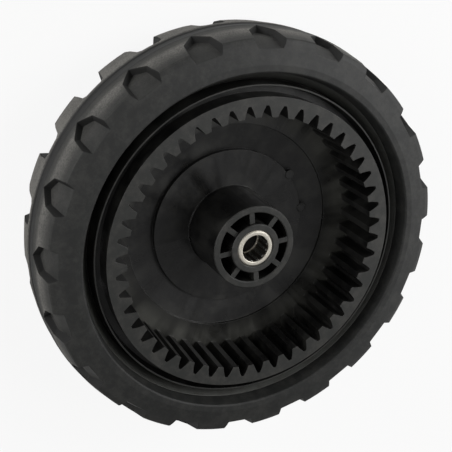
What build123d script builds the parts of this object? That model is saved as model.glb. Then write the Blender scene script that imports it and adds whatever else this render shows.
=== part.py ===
from build123d import *
import math
import os

os.makedirs("parts", exist_ok=True)

# Drive wheel of a walk-behind mower: a lugged rubber tyre on a moulded rim that
# carries an internal ring gear, turning on two drawn-cup needle bearings.
# Frame: millimetres, origin on the axle line at the middle of the tyre, +Z
# towards the gear side. The wheel lies flat on its plain outer side.

# Ring gear teeth, measured along a radius from the pitch circle
gear_module = 2.6
tooth_count = 48
pressure_angle = math.radians(20)
tooth_addendum = 1.95
tooth_dedendum = 3.25
tooth_phase = 4.4
gear_wall = 3.95
gear_face_z = 23.4
gear_depth = 27.5

# Rim outside the gear: two channels with a thin lip between them, then the
# cone that carries the tyre's bead
inner_channel_width = 3.1
inner_channel_depth = 10.0
lip_thickness = 1.0
lip_draft = 0.55
lip_drop = 3.7
lip_round = 0.45
lip_crest = 0.2
outer_channel_depth = 12.2
cone_width = 3.9
flange_drop = 5.8
flange_height = 1.6
flange_edge = 3.6
flange_round = 0.4
barrel_wall = 2.9
rear_flange_z = -17.6
rear_cone_rise = 1.6

# Disc between the hub and the gear
disc_wall = 3.2
recess_outer = 50.8
recess_step = 1.1
recess_inner = 38.2
recess_depth = 2.9
step_draft = 0.2
island_rise = 2.2
island_fall = 0.4
hub_fillet = 0.5

# Stiffening ribs behind the disc
rib_count = 10
rib_thickness = 2.4
rib_phase = 18.0
rib_rim_z = -15.5
rib_hub_z = -19.5
back_groove_width = 4.5
back_groove_top = 8.0

# Moulding marks on the disc: an ejector pad and a plain dial with ticks
pad_radius = 2.2
pad_place = 38.4
pad_angle = 314.0
pad_rise = 0.35
dial_radius = 2.5
dial_place = 38.8
dial_angle = 284.9
dial_rise = 0.25
dial_tick_count = 12
dial_tick_length = 0.9
dial_tick_width = 0.3
dial_tick_inset = 0.1
dial_tick_rise = 0.25

# Hub
hub_face_z = 23.2
hub_back_z = -22.0
hub_ring_wall = 3.2
hub_pocket_width = 4.9
hub_draft = 0.5
boss_wall = 3.05
boss_face_z = 24.6
boss_back_z = -24.0
boss_edge = 0.4
spoke_count = 8
spoke_thickness = 2.4
spoke_phase = 13.8
spoke_drop = 0.25
front_pocket_floor_z = -8.0
back_pocket_floor_z = -12.0

# Needle bearings
axle_radius = 6.35
axle_gap = 0.04
needle_radius = 0.75
needle_gap = 0.045
needle_count = 14
needle_end_gap = 0.1
cup_wall = 0.8
cup_length = 12.7
cup_lip = 0.8
cup_lip_hole = 6.5
cup_corner = 0.7
cup_recess = 0.15
shoulder_step = 1.1
cage_bore = 6.75
cage_wall = 0.8
cage_end_gap = 0.1
cage_ring = 0.8
window_gap = 0.08

# Tyre
tyre_gap = 0.05
tread_thickness = 20.3
half_tread = 22.2
crown_drop = 2.9
crown_break_z = 13.0
crown_break_drop = 0.95
valley_gear_z = 6.2
valley_floor_z = -0.6
valley_outer_z = -2.4
valley_depth = 0.8
shoulder_round = 0.6
sidewall_break = 2.4
sidewall_break_rise = 0.7
bead_face_z = 24.5
bead_face_width = 2.8
bead_lean = 1.2
bead_chamfer = 0.6

# Tread pockets, one row on each shoulder, half a pitch apart. The gear side's
# are pointed towards the centre line and the outer side's end square. Half
# widths are those of the floor at the shoulder, and the ends are measured from
# the centre line. Each floor is one or two planes: its depth at the shoulder and
# how far it rises for each millimetre inwards.
pocket_count = 20
pocket_phase = 5.0
pocket_block = 40.0
gear_pocket_floors = ((4.0, 0.35), (1.9, 0.1))
gear_pocket_half = 5.9
gear_pocket_lean = 0.49
gear_pocket_flare = 0.27
gear_point_floor = 7.6
gear_point_top = 7.2
gear_point_spread = 0.98
outer_pocket_floors = ((4.9, 0.23),)
outer_pocket_half = 5.6
outer_pocket_lean = 0.43
outer_pocket_flare = 0.16
outer_end_floor = 4.3
outer_end_top = 2.9
outer_corner = 1.8

# How far joined solids and cutters run into each other
overlap = 1.0

# Radii worked out from the sizes above
pitch_radius = gear_module * tooth_count / 2
tip_radius = pitch_radius - tooth_addendum
root_radius = pitch_radius + tooth_dedendum
gear_outer = root_radius + gear_wall
gear_wall_middle = root_radius + gear_wall / 2
lip_inner = gear_outer + inner_channel_width
lip_outer = lip_inner + lip_thickness + 2 * lip_draft
flange_radius = lip_outer + cone_width
seat_radius = flange_radius - flange_height
barrel_inner = seat_radius - barrel_wall
tread_radius = seat_radius + tread_thickness
race_radius = axle_radius + axle_gap + 2 * needle_radius + needle_gap
needle_circle = axle_radius + axle_gap + needle_radius
cage_length = cup_length - 2 * cup_lip - 2 * cage_end_gap
window_length = cage_length - 2 * cage_ring
needle_length = window_length - 2 * needle_end_gap
cup_radius = race_radius + cup_wall
boss_radius = cup_radius + boss_wall
pocket_outer = boss_radius + hub_pocket_width
hub_radius = pocket_outer + hub_ring_wall

# Heights worked out from the sizes above
floor_z = gear_face_z - gear_depth
recess_z = floor_z - recess_depth
island_z = recess_z + island_rise
island_foot_z = island_z - island_fall
flange_z = gear_face_z - flange_drop
flange_low_z = flange_z - flange_edge


def at_angle(shape, degrees):
    return Rot(0, 0, degrees) * shape


def polar(radius, degrees):
    angle = math.radians(degrees)
    return radius * math.cos(angle), radius * math.sin(angle)


def spun(points):
    # A closed outline in the (radius, height) plane, turned about the axle
    outline = Polyline([(r, 0, z) for r, z in points], close=True)
    return revolve(make_face(outline), Axis.Z)


def tube(outer, inner, low, high):
    return spun([(inner, low), (outer, low), (outer, high), (inner, high)])


def involute(angle):
    return math.tan(angle) - angle


def space_half_angle(radius):
    # Half the angle of a tooth space at this radius, in radians
    base_radius = pitch_radius * math.cos(pressure_angle)
    here = math.acos(base_radius / radius)
    quarter_pitch = math.pi / (2 * tooth_count)
    return quarter_pitch + involute(pressure_angle) - involute(here)


def toothed_ring(low, high, outer):
    # Internal involute teeth between the tip and root circles
    edges = []
    for k in range(tooth_count):
        centre = tooth_phase + k * 360 / tooth_count
        flanks = []
        for side in (-1, 1):
            radii = (tip_radius, (tip_radius + root_radius) / 2, root_radius)
            places = []
            for radius in radii:
                half = math.degrees(space_half_angle(radius))
                places.append(polar(radius, centre + side * half))
            flanks.append(places)
        rising, falling = flanks
        next_half = math.degrees(space_half_angle(tip_radius))
        tip_middle = centre + 180 / tooth_count
        next_tip = polar(tip_radius, centre + 360 / tooth_count - next_half)
        edges.append(Edge.make_three_point_arc(*rising))
        root_middle = polar(root_radius, centre)
        edges.append(Edge.make_three_point_arc(rising[2], root_middle, falling[2]))
        edges.append(Edge.make_three_point_arc(falling[2], falling[1], falling[0]))
        tip_point = polar(tip_radius, tip_middle)
        edges.append(Edge.make_three_point_arc(falling[0], tip_point, next_tip))
    outer_wire = Wire([Edge.make_circle(outer)])
    face = Face(outer_wire, [Wire(edges)])
    return extrude(Pos(0, 0, low) * face, high - low, dir=(0, 0, 1))


def rim_section():
    # The rim from the gear wall out to the tyre seat, with the disc
    cone_foot = gear_face_z - outer_channel_depth
    channel_floor = gear_face_z - inner_channel_depth
    lip_top = gear_face_z - lip_drop
    rear_inner_z = rear_flange_z + rear_cone_rise
    return spun([
        (hub_radius - overlap, island_foot_z),
        (recess_inner - step_draft, island_z),
        (recess_inner, recess_z),
        (recess_outer - step_draft, floor_z - recess_step),
        (recess_outer, floor_z),
        (gear_wall_middle, floor_z),
        (gear_wall_middle, gear_face_z),
        (gear_outer, gear_face_z),
        (gear_outer, channel_floor),
        (lip_inner, channel_floor),
        (lip_inner + lip_draft, lip_top - lip_round),
        (lip_inner + lip_draft + lip_crest, lip_top),
        (lip_outer - lip_draft - lip_crest, lip_top),
        (lip_outer - lip_draft, lip_top - lip_round),
        (lip_outer, cone_foot),
        (flange_radius, flange_z),
        (flange_radius, flange_low_z),
        (seat_radius, flange_low_z - flange_round),
        (seat_radius, rear_flange_z + flange_edge + flange_round),
        (flange_radius, rear_flange_z + flange_edge),
        (flange_radius, rear_flange_z + flange_round),
        (flange_radius - flange_round, rear_flange_z),
        (barrel_inner, rear_inner_z),
        (barrel_inner, back_groove_top),
        (barrel_inner - back_groove_width, back_groove_top),
        (barrel_inner - back_groove_width, floor_z - disc_wall),
        (recess_outer, floor_z - disc_wall),
        (recess_inner, recess_z - disc_wall),
        (hub_radius - overlap, recess_z - disc_wall),
    ])


def hub_shell():
    # Boss and outer ring of the hub, with the bore stepped for the two cups
    shoulder = cup_radius - shoulder_step
    drafted = hub_radius + hub_draft
    front_seat = boss_face_z - cup_recess - cup_length
    back_seat = boss_back_z + cup_recess + cup_length
    boss = spun([
        (cup_radius, front_seat),
        (cup_radius, boss_face_z - boss_edge),
        (cup_radius + boss_edge, boss_face_z),
        (boss_radius - boss_edge, boss_face_z),
        (boss_radius, boss_face_z - boss_edge),
        (boss_radius + hub_draft, front_pocket_floor_z - overlap),
        (boss_radius, boss_back_z + boss_edge),
        (boss_radius - boss_edge, boss_back_z),
        (cup_radius + boss_edge, boss_back_z),
        (cup_radius, boss_back_z + boss_edge),
        (cup_radius, back_seat),
        (shoulder, back_seat),
        (shoulder, front_seat),
    ])
    ring = spun([
        (pocket_outer - hub_draft, front_pocket_floor_z - overlap),
        (pocket_outer, hub_face_z - boss_edge),
        (pocket_outer + boss_edge, hub_face_z),
        (hub_radius - boss_edge, hub_face_z),
        (hub_radius, hub_face_z - boss_edge),
        (drafted, island_foot_z + hub_fillet),
        (drafted + hub_fillet, island_foot_z),
        (drafted + hub_fillet, island_foot_z - disc_wall / 2),
        (drafted, recess_z - disc_wall - hub_draft),
        (hub_radius, hub_back_z + boss_edge),
        (hub_radius - boss_edge, hub_back_z),
        (pocket_outer + boss_edge, hub_back_z),
        (pocket_outer, hub_back_z + boss_edge),
        (pocket_outer - hub_draft, back_pocket_floor_z + overlap),
    ])
    web_outer = pocket_outer + overlap
    web_inner = boss_radius - overlap
    web = tube(web_outer, web_inner, back_pocket_floor_z, front_pocket_floor_z)
    return boss + ring + web


def hub_spokes():
    length = pocket_outer - boss_radius + 2 * overlap
    middle = (pocket_outer + boss_radius) / 2
    spokes = []
    for low, high in ((front_pocket_floor_z - overlap, hub_face_z - spoke_drop),
                      (hub_back_z + spoke_drop, back_pocket_floor_z + overlap)):
        spoke = Pos(middle, 0, (low + high) / 2) * Box(length, spoke_thickness, high - low)
        for k in range(spoke_count):
            spokes.append(at_angle(spoke, spoke_phase + k * 360 / spoke_count))
    return spokes


def back_ribs():
    # One tapered rib, from the hub ring to the barrel, below the disc
    inner = hub_radius - overlap
    outer = barrel_inner + overlap
    gear_back = gear_outer - overlap
    outline = Polyline([
        (inner, 0, recess_z - overlap),
        (recess_inner, 0, recess_z - overlap),
        (recess_outer, 0, floor_z - recess_step - overlap),
        (gear_back, 0, floor_z - overlap),
        (gear_back, 0, back_groove_top + overlap),
        (outer, 0, back_groove_top + overlap),
        (outer, 0, rib_rim_z),
        (inner, 0, rib_hub_z),
    ], close=True)
    rib = extrude(make_face(outline), rib_thickness / 2, dir=(0, 1, 0), both=True)
    return [at_angle(rib, rib_phase + k * 360 / rib_count) for k in range(rib_count)]


def moulding_marks():
    base = recess_z - overlap
    pad_top = island_z + pad_rise
    x, y = polar(pad_place, pad_angle)
    pad = Pos(x, y, (base + pad_top) / 2) * Cylinder(pad_radius, pad_top - base)
    dial_top = island_z + dial_rise
    x, y = polar(dial_place, dial_angle)
    dial = Pos(x, y, (base + dial_top) / 2) * Cylinder(dial_radius, dial_top - base)
    marks = [pad, dial]
    reach = dial_radius - dial_tick_length / 2 - dial_tick_inset
    tick = Pos(reach, 0, 0) * Box(dial_tick_length, dial_tick_width, 2 * dial_tick_rise)
    for k in range(dial_tick_count):
        turned = at_angle(tick, k * 360 / dial_tick_count)
        marks.append(Pos(x, y, dial_top) * turned)
    return marks


def rim():
    teeth = toothed_ring(floor_z - overlap, gear_face_z, gear_wall_middle + overlap)
    body = rim_section() + teeth + hub_shell()
    body = body + hub_spokes()
    body = body + back_ribs()
    return body + moulding_marks()


def tyre_section():
    shoulder_radius = tread_radius - crown_drop
    break_radius = tread_radius - crown_break_drop
    bead_outer = flange_radius + tyre_gap + bead_lean + bead_chamfer
    side = [
        (break_radius, crown_break_z),
        (shoulder_radius, half_tread - shoulder_round),
        (shoulder_radius - shoulder_round, half_tread),
        (shoulder_radius - sidewall_break, half_tread + sidewall_break_rise),
        (bead_outer + bead_face_width, bead_face_z),
        (bead_outer, bead_face_z),
        (bead_outer - bead_chamfer, bead_face_z - bead_chamfer),
        (flange_radius + tyre_gap, flange_z),
        (flange_radius + tyre_gap, flange_low_z - tyre_gap),
        (seat_radius + tyre_gap, flange_low_z - flange_round - tyre_gap),
    ]
    valley = [
        (tread_radius, valley_outer_z),
        (tread_radius - valley_depth, valley_floor_z),
        (tread_radius, valley_gear_z),
    ]
    return spun(valley + side + [(r, -z) for r, z in side[::-1]])


def pocket_walls(side, depth, half, lean, flare):
    # The two side walls, as places and the directions into the pocket. side is 1
    # on the gear side and -1 on the outer side.
    floor_x = tread_radius - crown_drop - depth
    walls = []
    for hand in (-1, 1):
        place = (floor_x, hand * half, side * half_tread)
        walls.append((place, (lean, -hand, side * flare)))
    return walls


def pocket_block_above(side, floor, walls):
    # A block cut down to one plane of the pocket's floor and to all its walls
    depth, slope = floor
    shoulder = side * half_tread
    floor_x = tread_radius - crown_drop - depth
    block = Pos(tread_radius, 0, shoulder) * Box(pocket_block, pocket_block, pocket_block)
    for place, inward in [((floor_x, 0, shoulder), (1, 0, side * slope))] + walls:
        block = split(block, bisect_by=Plane(origin=place, z_dir=inward), keep=Keep.TOP)
    return block


def floor_radius_at(floor, height):
    depth, slope = floor
    return tread_radius - crown_drop - depth + slope * (half_tread - height)


def gear_pocket():
    # Pointed towards the centre line
    walls = pocket_walls(1, gear_pocket_floors[0][0], gear_pocket_half,
                         gear_pocket_lean, gear_pocket_flare)
    end_x = floor_radius_at(gear_pocket_floors[1], gear_point_floor)
    end_lean = (gear_point_floor - gear_point_top) / (tread_radius - end_x)
    for hand in (-1, 1):
        walls.append(((end_x, 0, gear_point_floor), (end_lean, hand * gear_point_spread, 1)))
    return [pocket_block_above(1, floor, walls) for floor in gear_pocket_floors]


def outer_pocket():
    # Square towards the centre line, with its two inner corners cut off
    floor = outer_pocket_floors[0]
    walls = pocket_walls(-1, floor[0], outer_pocket_half, outer_pocket_lean, outer_pocket_flare)
    end_x = floor_radius_at(floor, outer_end_floor)
    end_lean = (outer_end_floor - outer_end_top) / (tread_radius - end_x)
    walls.append(((end_x, 0, -outer_end_floor), (end_lean, 0, -1)))
    rise = end_x - floor_radius_at(floor, half_tread)
    end_half = outer_pocket_half + outer_pocket_lean * rise
    end_half -= outer_pocket_flare * (half_tread - outer_end_floor)
    corner_lean = end_lean + outer_pocket_lean
    for hand in (-1, 1):
        place = (end_x, hand * (end_half - outer_corner), -outer_end_floor)
        walls.append((place, (corner_lean, -hand, -1)))
    return [pocket_block_above(-1, floor, walls)]


def tyre():
    pitch = 360 / pocket_count
    cutters = []
    for k in range(pocket_count):
        for cutter in gear_pocket():
            cutters.append(at_angle(cutter, pocket_phase + k * pitch))
        for cutter in outer_pocket():
            cutters.append(at_angle(cutter, pocket_phase + (k + 0.5) * pitch))
    return tyre_section() - cutters


def bearing_cup(centre_z):
    # Drawn steel cup with a turned-in lip at each end
    half = cup_length / 2
    inside = half - cup_lip
    return Pos(0, 0, centre_z) * spun([
        (cup_lip_hole, half),
        (cup_radius - cup_corner, half),
        (cup_radius, half - cup_corner),
        (cup_radius, cup_corner - half),
        (cup_radius - cup_corner, -half),
        (cup_lip_hole, -half),
        (cup_lip_hole, -inside),
        (race_radius, -inside),
        (race_radius, inside),
        (cup_lip_hole, inside),
    ])


def needle_place(k):
    return polar(needle_circle, k * 360 / needle_count)


def bearing_cage(centre_z):
    body = tube(cage_bore + cage_wall, cage_bore, -cage_length / 2, cage_length / 2)
    width = 2 * (needle_radius + window_gap)
    window_depth = cage_wall + 2 * overlap
    window_place = Pos(cage_bore + cage_wall / 2, 0, 0)
    window = window_place * Box(window_depth, width, window_length)
    windows = [at_angle(window, k * 360 / needle_count) for k in range(needle_count)]
    return Pos(0, 0, centre_z) * (body - windows)


def needle(k, centre_z):
    x, y = needle_place(k)
    return Pos(x, y, centre_z) * Cylinder(needle_radius, needle_length)


def write(shape, name):
    export_step(shape, f"parts/{name}.step")


write(rim(), "rim")
write(tyre(), "tyre")
front_centre = boss_face_z - cup_recess - cup_length / 2
back_centre = boss_back_z + cup_recess + cup_length / 2
for side, centre_z in (("gear_side", front_centre), ("outer_side", back_centre)):
    write(bearing_cup(centre_z), f"{side}_bearing_cup")
    write(bearing_cage(centre_z), f"{side}_needle_cage")
    for k in range(needle_count):
        write(needle(k, centre_z), f"{side}_needle_{k + 1:02d}")
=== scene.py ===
import math

import bpy
from mathutils import Matrix, Vector


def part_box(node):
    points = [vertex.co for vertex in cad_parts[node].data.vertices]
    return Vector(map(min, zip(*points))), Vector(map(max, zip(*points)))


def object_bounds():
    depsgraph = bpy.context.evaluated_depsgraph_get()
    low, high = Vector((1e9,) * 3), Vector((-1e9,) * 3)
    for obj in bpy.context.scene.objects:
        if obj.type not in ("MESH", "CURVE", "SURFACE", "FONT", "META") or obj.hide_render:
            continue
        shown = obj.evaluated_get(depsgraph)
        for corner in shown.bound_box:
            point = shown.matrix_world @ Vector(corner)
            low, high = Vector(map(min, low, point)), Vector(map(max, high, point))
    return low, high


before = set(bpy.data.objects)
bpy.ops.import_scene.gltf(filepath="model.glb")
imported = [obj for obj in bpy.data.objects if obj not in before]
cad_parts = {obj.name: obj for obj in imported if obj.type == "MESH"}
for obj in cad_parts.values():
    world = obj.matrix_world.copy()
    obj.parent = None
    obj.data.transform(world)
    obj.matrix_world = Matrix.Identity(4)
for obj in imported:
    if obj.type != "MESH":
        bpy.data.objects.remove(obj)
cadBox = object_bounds()
print("frame loaded:", len(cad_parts), "nodes")

mm = 0.001      # the frame is in metres, and sizes below are in millimetres


# Small helpers
def hexColour(text):
    # sRGB hex to linear: the curve has a straight foot, then a power
    linear = []
    for start in (1, 3, 5):
        value = int(text[start:start + 2], 16) / 255
        linear.append(value / 12.92 if value <= 0.04045 else ((value + 0.055) / 1.055) ** 2.4)
    return (*linear, 1.0)


def newMaterial(name):
    material = bpy.data.materials.new(name)
    material.use_nodes = True
    tree = material.node_tree
    tree.nodes.clear()
    return material, tree


def addNode(tree, kind, settings=None, inputs=None):
    # settings go to the node, inputs to its sockets: a value, a socket, or a node's first output
    node = tree.nodes.new(kind)
    for key, value in (settings or {}).items():
        setattr(node, key, value)
    for key, value in (inputs or {}).items():
        if isinstance(value, bpy.types.Node):
            value = value.outputs[0]
        if isinstance(value, bpy.types.NodeSocket):
            tree.links.new(value, node.inputs[key])
        else:
            node.inputs[key].default_value = value
    return node


# Camera, where the photographer stood
cameraView = {
    "place": (139.87 * mm, 195.93 * mm, 379.47 * mm),
    "right": (0.14647, -0.90335, 0.40310),  # right and up in the photo, in the wheel's frame
    "up": (0.93988, 0.0, -0.34150),
    "lens": 75.66,              # in mm, as the sensor is
    "sensor": 36.0,
    "nearest": 10 * mm,
    "farthest": 10000 * mm,
}


def makeCamera(view):
    data = bpy.data.cameras.new("camera")
    data.lens = view["lens"]
    data.sensor_width = view["sensor"]
    data.clip_start = view["nearest"]
    data.clip_end = view["farthest"]
    camera = bpy.data.objects.new("camera", data)
    bpy.context.scene.collection.objects.link(camera)
    right = Vector(view["right"]).normalized()
    up = Vector(view["up"]).normalized()
    back = right.cross(up).normalized()
    up = back.cross(right)
    turn = Matrix((right, up, back)).transposed().to_4x4()
    camera.matrix_world = Matrix.Translation(view["place"]) @ turn
    bpy.context.scene.camera = camera


makeCamera(cameraView)
print("camera placed")

# Floor and air
studio = {
    "white": "#ffffff",
    "floorColour": "#f4f4f2",
    "floorSize": 6000 * mm,
    "whiteShare": 0.9,          # how far the camera sees plain white, the rest is lit paint
    "airStrength": 0.03,        # light that the room itself gives
    "mirroredStrength": 0.18,   # the white room as gloss and metal see it
}


def makeFloor(settings):
    # Pale paint that takes the wheel's shadow: nearly white for the camera, dimmer in gloss
    bpy.ops.mesh.primitive_plane_add(size=settings["floorSize"], location=(0, 0, cadBox[0].z))
    floor = bpy.context.object
    floor.name = "studioFloor"
    material, tree = newMaterial("paintedStudioFloor")
    light = addNode(tree, "ShaderNodeLightPath")
    seen = addNode(tree, "ShaderNodeMath", {"operation": "MULTIPLY"}, {
        0: light.outputs["Is Camera Ray"], 1: settings["whiteShare"]})
    mirrored = addNode(tree, "ShaderNodeMath", {"operation": "MULTIPLY"}, {
        0: light.outputs["Is Glossy Ray"], 1: settings["mirroredStrength"]})
    share = addNode(tree, "ShaderNodeMath", {"operation": "MAXIMUM"}, {0: seen, 1: mirrored})
    paint = addNode(tree, "ShaderNodeBsdfDiffuse", inputs={
        "Color": hexColour(settings["floorColour"])})
    white = addNode(tree, "ShaderNodeEmission", inputs={
        "Color": hexColour(settings["white"]), "Strength": 1.0})
    mix = addNode(tree, "ShaderNodeMixShader", inputs={0: share, 1: paint, 2: white})
    addNode(tree, "ShaderNodeOutputMaterial", inputs={"Surface": mix})
    floor.data.materials.append(material)


def makeWorld(settings):
    # White where the camera looks, a dim white room in reflections, hardly any light on the wheel
    world = bpy.data.worlds.new("studioAir")
    world.use_nodes = True
    tree = world.node_tree
    tree.nodes.clear()
    light = addNode(tree, "ShaderNodeLightPath")
    soft = addNode(tree, "ShaderNodeBackground", inputs={
        "Color": hexColour(settings["white"]), "Strength": settings["airStrength"]})
    mirrored = addNode(tree, "ShaderNodeBackground", inputs={
        "Color": hexColour(settings["white"]), "Strength": settings["mirroredStrength"]})
    white = addNode(tree, "ShaderNodeBackground", inputs={
        "Color": hexColour(settings["white"]), "Strength": 1.0})
    bent = addNode(tree, "ShaderNodeMath", {"operation": "MAXIMUM"}, {
        0: light.outputs["Is Glossy Ray"], 1: light.outputs["Is Transmission Ray"]})
    unseen = addNode(tree, "ShaderNodeMixShader", inputs={0: bent, 1: soft, 2: mirrored})
    mix = addNode(tree, "ShaderNodeMixShader", inputs={
        0: light.outputs["Is Camera Ray"], 1: unseen, 2: white})
    addNode(tree, "ShaderNodeOutputWorld", inputs={"Surface": mix})
    bpy.context.scene.world = world


# Soft round lamps, all at one distance from the wheel's middle
lampDisk = {
    "distance": 900.0,
    "size": 450.0,
}
lamps = [
    # name, direction round the axle in degrees, height in degrees, watts
    ("keyTopRight", 306, 35, 3.1),
    ("highRight", 300, 58, 1.2),
    ("highLowRight", 234, 56, 0.08),
    ("highLeft", 60, 62, 0.4),
    ("highUnder", 150, 58, 0.4),
    ("right", 270, 35, 0.7),
    ("lowRight", 252, 12, 0.7),
    ("sideLeft", 72, 12, 2.2),
    ("left", 90, 35, 0.8),
]


def makeLamps(disk, rows):
    for name, around, height, watts in rows:
        data = bpy.data.lights.new(name, "AREA")
        data.shape = "DISK"
        data.size = disk["size"] * mm
        data.energy = watts
        lamp = bpy.data.objects.new(name, data)
        bpy.context.scene.collection.objects.link(lamp)
        turn, lift = math.radians(around), math.radians(height)
        level = math.cos(lift)
        way = Vector((level * math.cos(turn), level * math.sin(turn), math.sin(lift)))
        lamp.location = way * disk["distance"] * mm
        lamp.rotation_euler = (-way).to_track_quat("-Z", "Y").to_euler()


makeFloor(studio)
makeWorld(studio)
makeLamps(lampDisk, lamps)
bpy.context.scene.view_settings.view_transform = "Standard"
print("studio built:", len(lamps), "lamps")

# What the materials share
smooth = {"interpolation_type": "SMOOTHSTEP"}
colourMix = {"data_type": "RGBA"}   # takes its colours on sockets 6 and 7, gives output 2
valueMix = {"data_type": "FLOAT"}   # takes its values on sockets 2 and 3
surfaceDetail = {
    "edgeSamples": 4,       # rays that look for an edge to round
    "grainStrength": 0.3,
}


def wheelPlace(tree):
    # Where a point of the surface lies on the wheel
    point = addNode(tree, "ShaderNodeTexCoord").outputs["Object"]
    outward = addNode(tree, "ShaderNodeVectorMath", {"operation": "MULTIPLY"}, {
        0: point, 1: (1, 1, 0)})
    length = addNode(tree, "ShaderNodeVectorMath", {"operation": "LENGTH"}, {0: outward})
    axes = addNode(tree, "ShaderNodeSeparateXYZ", inputs={0: point})
    return {
        "point": point,
        "outward": outward.outputs["Vector"],
        "radius": length.outputs["Value"],
        "x": axes.outputs["X"],
        "y": axes.outputs["Y"],
        "height": axes.outputs["Z"],
    }


def finishSurface(tree, settings, colour, roughness, grain):
    # Moulded edges are rounded, and the grain is cut into the rounded normal
    edge = addNode(tree, "ShaderNodeBevel", {"samples": surfaceDetail["edgeSamples"]}, {
        "Radius": settings["edgeRound"] * mm})
    bump = addNode(tree, "ShaderNodeBump", inputs={
        "Height": grain, "Strength": surfaceDetail["grainStrength"],
        "Distance": settings["grainDepth"] * mm, "Normal": edge})
    surface = addNode(tree, "ShaderNodeBsdfPrincipled", inputs={
        "Base Color": colour, "Roughness": roughness, "IOR": settings["ior"], "Normal": bump})
    addNode(tree, "ShaderNodeOutputMaterial", inputs={"Surface": surface})


# Rim: injection-moulded nylon with glass fibre. Sizes are in mm, and a pair of From and To says
# where a mark begins and where it is full
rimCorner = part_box("rim")[1]    # its outer radius and its highest face
rimNylon = {
    "colour": "#0c0c0c",
    "ior": 1.53,
    "roughness": 0.25,
    "edgeRound": 0.3,
    "grainSize": 0.5,           # spark-eroded grain, drawn coarser than the real one
    "grainDetail": 3.0,
    "grainDepth": 0.04,
    "patchSize": 16.0,          # patches where the mould was less polished
    "patchFrom": 0.35,
    "patchTo": 0.65,
    "patchRoughness": 0.12,
    "streakSpread": 5.5,        # flow streaks, running out from the hub
    "streakDetail": 4.0,
    "streakFrom": 0.4,
    "streakTo": 0.65,
    "streakRoughness": 0.16,
    "greaseColour": "#2a2a28",  # cloudy grease on the disc, in some of the patches
    "greaseFrom": 0.5,
    "greaseTo": 0.66,
    "filmAndHighlightColour": "#5a5a55",    # release film on the floor beside the teeth, and a painted highlight: pale streaks where the glossy floor catches light
    "filmFrom": 50.0,           # by radius
    "filmTo": 57.0,
    "filmHigh": 26.1,           # by depth under the rim's top: none above this, full at the next
    "filmLow": 28.5,
    "filmPatchFrom": 0.35,
    "filmPatchTo": 0.65,
    "filmLeast": 0.25,
    "handledAndPaintedLightColour": "#292a28",  # level faces that stand high are handled to a satin, and painted light makes them greyer than the deep faces; walls stay as moulded
    "handledRoughness": 0.5,
    "handledFrom": 8.6,         # by depth under the rim's top
    "handledTo": 4.6,
    "levelFrom": 0.3,           # by how far the face looks up
    "levelTo": 0.8,
    "conePaintedLightColour": "#4c4d4a",    # painted light: the cone beside the tyre is made pale to show the light it catches
    "coneFrom": 3.5,            # by distance in from the rim's edge
    "coneTo": 2.7,
    "smudgeColour": "#403f3c",
    "smudgeSize": 7.0,
    "smudgeDetail": 8.0,
    "smudgeRoughness": 0.8,
    "smudgeFrom": 0.42,
    "smudgeTo": 0.66,
    "discSmudges": 0.3,         # share of the smudges that shows off the handled faces
    "wornColour": "#4b4a48",    # edges rubbed pale
    "wornShare": 0.6,
    "wornFrom": 0.97,           # by how far the rounded normal leaves the face's own
    "wornTo": 0.8,
}


def handledAndPaintedLightShares(tree, settings, place, faceNormal):
    # Shares of the cone beside the tyre, which takes painted light, and of the high level faces,
    # which are handled and also painted lighter than the deep faces
    high = addNode(tree, "ShaderNodeMapRange", smooth, {
        "Value": place["height"],
        "From Min": rimCorner.z - settings["handledFrom"] * mm,
        "From Max": rimCorner.z - settings["handledTo"] * mm})
    tilt = addNode(tree, "ShaderNodeSeparateXYZ", inputs={0: faceNormal})
    level = addNode(tree, "ShaderNodeMapRange", smooth, {
        "Value": tilt.outputs["Z"],
        "From Min": settings["levelFrom"], "From Max": settings["levelTo"]})
    touched = addNode(tree, "ShaderNodeMath", {"operation": "MULTIPLY"}, {0: high, 1: level})
    # The cone beside the tyre, which takes painted light
    coneWithPaintedLight = addNode(tree, "ShaderNodeMapRange", smooth, {
        "Value": place["radius"],
        "From Min": rimCorner.x - settings["coneFrom"] * mm,
        "From Max": rimCorner.x - settings["coneTo"] * mm})
    handledAndPaintedLight = addNode(tree, "ShaderNodeMath", {"operation": "MAXIMUM"}, {0: touched, 1: coneWithPaintedLight})
    return coneWithPaintedLight, handledAndPaintedLight


def flowStreaks(tree, settings, place):
    # Noise over the direction from the hub alone, so that each streak runs straight outwards
    angle = addNode(tree, "ShaderNodeMath", {"operation": "ARCTAN2"}, {
        0: place["y"], 1: place["x"]})
    across = addNode(tree, "ShaderNodeMath", {"operation": "COSINE"}, {0: angle})
    along = addNode(tree, "ShaderNodeMath", {"operation": "SINE"}, {0: angle})
    direction = addNode(tree, "ShaderNodeCombineXYZ", inputs={"X": across, "Y": along})
    return addNode(tree, "ShaderNodeTexNoise", inputs={
        "Vector": direction, "Scale": settings["streakSpread"],
        "Detail": settings["streakDetail"]})


def nylonGloss(tree, settings, patchNoise, streakNoise, handledAndPaintedLight):
    # Glossy as moulded, less so in patches and streaks, and satin where it is handled
    patches = addNode(tree, "ShaderNodeMapRange", smooth, {
        "Value": patchNoise, "From Min": settings["patchFrom"], "From Max": settings["patchTo"],
        "To Min": settings["roughness"],
        "To Max": settings["roughness"] + settings["patchRoughness"]})
    streaks = addNode(tree, "ShaderNodeMapRange", smooth, {
        "Value": streakNoise, "From Min": settings["streakFrom"], "From Max": settings["streakTo"],
        "To Max": settings["streakRoughness"]})
    moulded = addNode(tree, "ShaderNodeMath", {"operation": "ADD"}, {0: patches, 1: streaks})
    return addNode(tree, "ShaderNodeMix", valueMix, {
        "Factor": handledAndPaintedLight, 2: moulded, 3: settings["handledRoughness"]})


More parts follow.
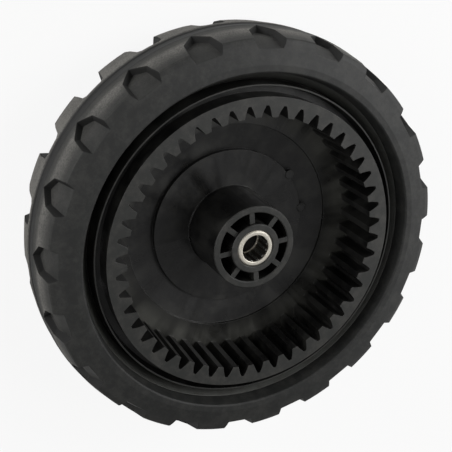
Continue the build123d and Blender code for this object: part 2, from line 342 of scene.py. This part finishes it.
def releaseFilmAndHighlight(tree, settings, place, streakNoise):
    # Share of the film and its painted highlight: on the low floor near the teeth, broken up along
    # the streaks
    beyond = addNode(tree, "ShaderNodeMapRange", inputs={
        "Value": place["radius"],
        "From Min": settings["filmFrom"] * mm, "From Max": settings["filmTo"] * mm})
    broken = addNode(tree, "ShaderNodeMapRange", smooth, {
        "Value": streakNoise,
        "From Min": settings["filmPatchFrom"], "From Max": settings["filmPatchTo"],
        "To Min": settings["filmLeast"]})
    onFloor = addNode(tree, "ShaderNodeMapRange", smooth, {
        "Value": place["height"],
        "From Min": rimCorner.z - settings["filmHigh"] * mm,
        "From Max": rimCorner.z - settings["filmLow"] * mm})
    patchy = addNode(tree, "ShaderNodeMath", {"operation": "MULTIPLY"}, {0: beyond, 1: broken})
    return addNode(tree, "ShaderNodeMath", {"operation": "MULTIPLY"}, {0: patchy, 1: onFloor})


def nylonSmudges(tree, settings, place, handledAndPaintedLight):
    # Share of the dull smudges, fewer where no hand comes
    smudgeNoise = addNode(tree, "ShaderNodeTexNoise", inputs={
        "Vector": place["point"], "Scale": 1 / (settings["smudgeSize"] * mm),
        "Detail": settings["smudgeDetail"], "Roughness": settings["smudgeRoughness"]})
    smudges = addNode(tree, "ShaderNodeMapRange", smooth, {
        "Value": smudgeNoise,
        "From Min": settings["smudgeFrom"], "From Max": settings["smudgeTo"]})
    share = addNode(tree, "ShaderNodeMapRange", inputs={
        "Value": handledAndPaintedLight, "To Min": settings["discSmudges"]})
    return addNode(tree, "ShaderNodeMath", {"operation": "MULTIPLY"}, {0: smudges, 1: share})


def wornEdges(tree, settings, faceNormal):
    # Share of rubbed plastic: along edges the rounded normal leaves the face's own
    rounded = addNode(tree, "ShaderNodeBevel", {"samples": surfaceDetail["edgeSamples"]}, {
        "Radius": settings["edgeRound"] * mm})
    alike = addNode(tree, "ShaderNodeVectorMath", {"operation": "DOT_PRODUCT"}, {
        0: faceNormal, 1: rounded})
    return addNode(tree, "ShaderNodeMapRange", inputs={
        "Value": alike.outputs["Value"],
        "From Min": settings["wornFrom"], "From Max": settings["wornTo"],
        "To Max": settings["wornShare"]})


def glassFilledNylon(settings):
    # Moulded black nylon: glossy where the mould was polished, satin and a little greyer on
    # the handled faces, which is partly painted light, with flow streaks, dull smudges and pale
    # edges;
    # painted light on the cone beside the tyre, and a painted highlight with the film by the teeth
    material, tree = newMaterial("glassFilledNylon")
    place = wheelPlace(tree)
    faceNormal = addNode(tree, "ShaderNodeNewGeometry").outputs["Normal"]
    coneWithPaintedLight, handledAndPaintedLight = handledAndPaintedLightShares(tree, settings, place, faceNormal)
    patchNoise = addNode(tree, "ShaderNodeTexNoise", inputs={
        "Vector": place["point"], "Scale": 1 / (settings["patchSize"] * mm)})
    streakNoise = flowStreaks(tree, settings, place)
    greasy = addNode(tree, "ShaderNodeMapRange", smooth, {
        "Value": patchNoise,
        "From Min": settings["greaseFrom"], "From Max": settings["greaseTo"]})
    layers = [
        (greasy, "greaseColour"),
        # film, and painted highlight, on the floor beside the teeth
        (releaseFilmAndHighlight(tree, settings, place, streakNoise), "filmAndHighlightColour"),
        # high level faces: handled satin, and painted light that makes them greyer than the deep
        # faces
        (handledAndPaintedLight, "handledAndPaintedLightColour"),
        # painted light on the cone beside the tyre
        (coneWithPaintedLight, "conePaintedLightColour"),
        (nylonSmudges(tree, settings, place, handledAndPaintedLight), "smudgeColour"),
        (wornEdges(tree, settings, faceNormal), "wornColour"),
    ]
    colour = hexColour(settings["colour"])
    for share, name in layers:
        laid = addNode(tree, "ShaderNodeMix", colourMix, {
            "Factor": share, 6: colour, 7: hexColour(settings[name])})
        colour = laid.outputs[2]
    roughness = nylonGloss(tree, settings, patchNoise, streakNoise, handledAndPaintedLight)
    grain = addNode(tree, "ShaderNodeTexNoise", inputs={
        "Vector": place["point"], "Scale": 1 / (settings["grainSize"] * mm),
        "Detail": settings["grainDetail"]})
    finishSurface(tree, settings, colour, roughness, grain)
    return material


# Tyre: moulded rubber with carbon black, in mm as above. Heights are from the middle of the
# tyre's width, which is the frame's own, and the positive ones are on the gear's side
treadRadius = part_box("tyre")[1].x
tyreRubber = {
    "colour": "#1d1e1d",
    "ior": 1.52,
    "roughness": 0.6,
    "edgeRound": 0.6,
    "grainSize": 0.8,           # the mould's fine grain, drawn coarser than the real one
    "grainDetail": 4.0,
    "grainDepth": 0.08,
    "bloomColour": "#323230",   # grey bloom of wax that has come to the surface
    "bloomSize": 7.0,
    "bloomDetail": 8.0,
    "bloomRoughness": 0.8,
    "bloomFrom": 0.4,
    "bloomTo": 0.65,
    "valleyShadeColour": "#0c0c0d",  # painted shade: between the two rows of lugs the rubber is made darker than its own colour
    "valleyHalf": 7.2,
    "valleyFade": 1.6,
    "treadDepth": 3.4,          # how deep the lugs reach under the crown of the tread
    "crownFrom": 6.2,           # how the tread falls away towards its shoulders
    "crownTo": 21.6,
    "crownFall": 2.9,
    "dustColour": "#868480",
    "dustRoughness": 0.95,
    "dustDepth": 0.9,           # deeper than this under the crown nothing touches the ground
    "dustFull": 0.35,
    "gearDustFrom": 8.0,        # dust on the lugs of the gear's side, by height
    "gearDustFull": 12.5,
    "gearDustShare": 0.85,
    "outerDustEnd": -1.0,       # dust on the lugs of the outer side
    "outerDustFull": -2.6,
    "outerDustShare": 1.0,
    "shoulderFrom": 12.0,       # it thins out towards the shoulder
    "shoulderTo": 21.0,
    "shoulderShare": 0.1,
    "speckleFrom": 0.3,         # it is uneven from grain to grain, and in clouds
    "speckleTo": 0.7,
    "speckleLeast": 0.6,
    "speckleMost": 1.2,
    "cloudSize": 12.0,
    "cloudFrom": 0.3,
    "cloudTo": 0.7,
    "cloudLeast": 0.75,
    "cloudMost": 1.15,
    "pocketDustAndLight": 0.2,          # dust that stays in the pockets, by depth and by height, and painted light that lifts the pocket floors
    "pocketFrom": 6.9,
    "pocketTo": 3.9,
    "pocketBottom": 6.0,
    "pocketTop": 9.0,
    "wallShadeColour": "#0a0a0a",    # painted shade: the pockets' walls are made darker than the rubber's own colour
    "wallFrom": 0.2,            # by how far the face looks round the wheel
    "wallTo": 0.5,
    "wallShadeShare": 0.85,
}


def lugDust(tree, settings, place, crownRadius):
    # Dust where the tread has met the ground, on each side's row of lugs
    worn = addNode(tree, "ShaderNodeMapRange", smooth, {
        "Value": crownRadius,
        "From Min": treadRadius - settings["dustDepth"] * mm,
        "From Max": treadRadius - settings["dustFull"] * mm})
    outerSide = addNode(tree, "ShaderNodeMapRange", smooth, {
        "Value": place["height"],
        "From Min": settings["outerDustFull"] * mm, "From Max": settings["outerDustEnd"] * mm,
        "To Min": settings["outerDustShare"], "To Max": 0.0})
    gearSide = addNode(tree, "ShaderNodeMapRange", smooth, {
        "Value": place["height"],
        "From Min": settings["gearDustFrom"] * mm, "From Max": settings["gearDustFull"] * mm,
        "To Max": settings["gearDustShare"]})
    sides = addNode(tree, "ShaderNodeMath", {"operation": "MAXIMUM"}, {0: outerSide, 1: gearSide})
    return addNode(tree, "ShaderNodeMath", {"operation": "MULTIPLY"}, {0: worn, 1: sides})


def pocketDustAndLight(tree, settings, place, crownRadius):
    # Dust caught in the outer part of the gear side's pockets, and painted light that lifts those
    # floors
    reach = addNode(tree, "ShaderNodeMapRange", smooth, {
        "Value": crownRadius,
        "From Min": treadRadius - settings["pocketFrom"] * mm,
        "From Max": treadRadius - settings["pocketTo"] * mm,
        "To Max": settings["pocketDustAndLight"]})
    side = addNode(tree, "ShaderNodeMapRange", smooth, {
        "Value": place["height"],
        "From Min": settings["pocketBottom"] * mm, "From Max": settings["pocketTop"] * mm})
    return addNode(tree, "ShaderNodeMath", {"operation": "MULTIPLY"}, {0: reach, 1: side})


def tyreDust(tree, settings, place, grain):
    # Share of all the dust on the tyre, with the painted light in the pockets
    away = addNode(tree, "ShaderNodeMath", {"operation": "ABSOLUTE"}, {0: place["height"]})
    fall = addNode(tree, "ShaderNodeMapRange", inputs={
        "Value": away,
        "From Min": settings["crownFrom"] * mm, "From Max": settings["crownTo"] * mm,
        "To Max": settings["crownFall"] * mm})
    # The radius that the point would have without the fall of the crown
    crownRadius = addNode(tree, "ShaderNodeMath", {"operation": "ADD"}, {
        0: place["radius"], 1: fall})
    shoulder = addNode(tree, "ShaderNodeMapRange", smooth, {
        "Value": place["height"],
        "From Min": settings["shoulderFrom"] * mm, "From Max": settings["shoulderTo"] * mm,
        "To Min": 1.0, "To Max": settings["shoulderShare"]})
    speckle = addNode(tree, "ShaderNodeMapRange", smooth, {
        "Value": grain, "From Min": settings["speckleFrom"], "From Max": settings["speckleTo"],
        "To Min": settings["speckleLeast"], "To Max": settings["speckleMost"]})
    cloudNoise = addNode(tree, "ShaderNodeTexNoise", inputs={
        "Vector": place["point"], "Scale": 1 / (settings["cloudSize"] * mm)})
    clouds = addNode(tree, "ShaderNodeMapRange", smooth, {
        "Value": cloudNoise, "From Min": settings["cloudFrom"], "From Max": settings["cloudTo"],
        "To Min": settings["cloudLeast"], "To Max": settings["cloudMost"]})
    dust = addNode(tree, "ShaderNodeMath", {"operation": "MAXIMUM"}, {
        0: lugDust(tree, settings, place, crownRadius),
        1: pocketDustAndLight(tree, settings, place, crownRadius)})
    for share in (shoulder, speckle, clouds):
        dust = addNode(tree, "ShaderNodeMath", {"operation": "MULTIPLY"}, {0: dust, 1: share})
    return dust


def waxBloom(tree, settings, place):
    # Share of the grey bloom
    bloomNoise = addNode(tree, "ShaderNodeTexNoise", inputs={
        "Vector": place["point"], "Scale": 1 / (settings["bloomSize"] * mm),
        "Detail": settings["bloomDetail"], "Roughness": settings["bloomRoughness"]})
    return addNode(tree, "ShaderNodeMapRange", smooth, {
        "Value": bloomNoise,
        "From Min": settings["bloomFrom"], "From Max": settings["bloomTo"]})


def treadValleyShade(tree, settings, place):
    # Share of the painted shade between the rows of lugs
    middle = addNode(tree, "ShaderNodeMapRange", smooth, {
        "Value": place["height"], "From Min": settings["valleyHalf"] * mm,
        "From Max": (settings["valleyHalf"] - settings["valleyFade"]) * mm})
    tread = addNode(tree, "ShaderNodeMapRange", smooth, {
        "Value": place["radius"],
        "From Min": treadRadius - settings["treadDepth"] * mm, "From Max": treadRadius})
    return addNode(tree, "ShaderNodeMath", {"operation": "MULTIPLY"}, {0: middle, 1: tread})


def pocketWallShade(tree, settings, place):
    # Share of the painted shade on the faces that look round the wheel, which only the pockets
    # have
    faceNormal = addNode(tree, "ShaderNodeNewGeometry").outputs["Normal"]
    unitOut = addNode(tree, "ShaderNodeVectorMath", {"operation": "NORMALIZE"}, {
        0: place["outward"]})
    sideways = addNode(tree, "ShaderNodeVectorMath", {"operation": "CROSS_PRODUCT"}, {
        0: unitOut, 1: faceNormal})
    tilt = addNode(tree, "ShaderNodeSeparateXYZ", inputs={0: sideways})
    lean = addNode(tree, "ShaderNodeMath", {"operation": "ABSOLUTE"}, {0: tilt.outputs["Z"]})
    return addNode(tree, "ShaderNodeMapRange", inputs={
        "Value": lean, "From Min": settings["wallFrom"], "From Max": settings["wallTo"],
        "To Max": settings["wallShadeShare"]})


def mouldedRubber(settings):
    # Carbon-black rubber: nearly matt, and grey with dust where the tread has met the ground, with
    # painted shade between the rows of lugs and on the pockets' walls
    material, tree = newMaterial("mouldedTyreRubber")
    place = wheelPlace(tree)
    grain = addNode(tree, "ShaderNodeTexNoise", inputs={
        "Vector": place["point"], "Scale": 1 / (settings["grainSize"] * mm),
        "Detail": settings["grainDetail"]})
    dust = tyreDust(tree, settings, place, grain)
    layers = [
        (waxBloom(tree, settings, place), "bloomColour"),
        # painted shade between the rows of lugs
        (treadValleyShade(tree, settings, place), "valleyShadeColour"),
        (dust, "dustColour"),
        # painted shade on the pockets' walls
        (pocketWallShade(tree, settings, place), "wallShadeColour"),
    ]
    colour = hexColour(settings["colour"])
    for share, name in layers:
        laid = addNode(tree, "ShaderNodeMix", colourMix, {
            "Factor": share, 6: colour, 7: hexColour(settings[name])})
        colour = laid.outputs[2]
    roughness = addNode(tree, "ShaderNodeMapRange", inputs={
        "Value": dust, "To Min": settings["roughness"], "To Max": settings["dustRoughness"]})
    finishSurface(tree, settings, colour, roughness, grain)
    return material


# Bearing: the cups are drawn from sheet and tumbled to a satin, the cages are pressed and dark
# with oil, and the needles are ground bright
cupSteel = {
    "colour": "#f7f2e6",
    "dullColour": "#ddd7c8",
    "roughness": 0.42,
    "edgeRound": 0.7,
    "scratchSize": 0.35,
}
cageSteel = {
    "colour": "#98938a",
    "dullColour": "#6c6860",
    "roughness": 0.3,
    "edgeRound": 0.1,
    "scratchSize": 0.6,
}
needleSteel = {
    "colour": "#e4e4e2",
    "dullColour": "#bdbdbb",
    "roughness": 0.25,
    "edgeRound": 0.1,
    "scratchSize": 0.4,
}
steelWear = {
    "scratchDetail": 3.0,       # fine scratches, drawn as coarse as the sizes above to show
    "dullFrom": 0.4,
    "dullTo": 0.75,
    "dullRoughness": 0.15,      # what they add to the roughness
}


def bearingSteel(name, settings, wear):
    # Bright steel, with fine handling scratches that dull it in places
    material, tree = newMaterial(name)
    point = addNode(tree, "ShaderNodeTexCoord").outputs["Object"]
    scratches = addNode(tree, "ShaderNodeTexNoise", inputs={
        "Vector": point, "Scale": 1 / (settings["scratchSize"] * mm),
        "Detail": wear["scratchDetail"]})
    dull = addNode(tree, "ShaderNodeMapRange", inputs={
        "Value": scratches, "From Min": wear["dullFrom"], "From Max": wear["dullTo"]})
    colour = addNode(tree, "ShaderNodeMix", colourMix, {
        "Factor": dull, 6: hexColour(settings["colour"]), 7: hexColour(settings["dullColour"])})
    roughness = addNode(tree, "ShaderNodeMapRange", inputs={
        "Value": dull, "To Min": settings["roughness"],
        "To Max": settings["roughness"] + wear["dullRoughness"]})
    edge = addNode(tree, "ShaderNodeBevel", {"samples": surfaceDetail["edgeSamples"]}, {
        "Radius": settings["edgeRound"] * mm})
    surface = addNode(tree, "ShaderNodeBsdfPrincipled", inputs={
        "Base Color": colour.outputs[2], "Metallic": 1.0, "Roughness": roughness, "Normal": edge})
    addNode(tree, "ShaderNodeOutputMaterial", inputs={"Surface": surface})
    return material


nylon = glassFilledNylon(rimNylon)
rubber = mouldedRubber(tyreRubber)
drawnSteel = bearingSteel("drawnSteel", cupSteel, steelWear)
pressedSteel = bearingSteel("pressedSteel", cageSteel, steelWear)
groundSteel = bearingSteel("groundSteel", needleSteel, steelWear)
print("materials made")


# Finishes on the pieces
def dress(node, material):
    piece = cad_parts[node]
    if not piece.material_slots:
        piece.data.materials.append(None)
    for holder in piece.material_slots:
        holder.link = "OBJECT"
        holder.material = material


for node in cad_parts:
    if node == "rim":
        dress(node, nylon)
    elif node == "tyre":
        dress(node, rubber)
    elif node.endswith("cup"):
        dress(node, drawnSteel)
    elif node.endswith("cage"):
        dress(node, pressedSteel)
    else:
        dress(node, groundSteel)
print("finishes on")
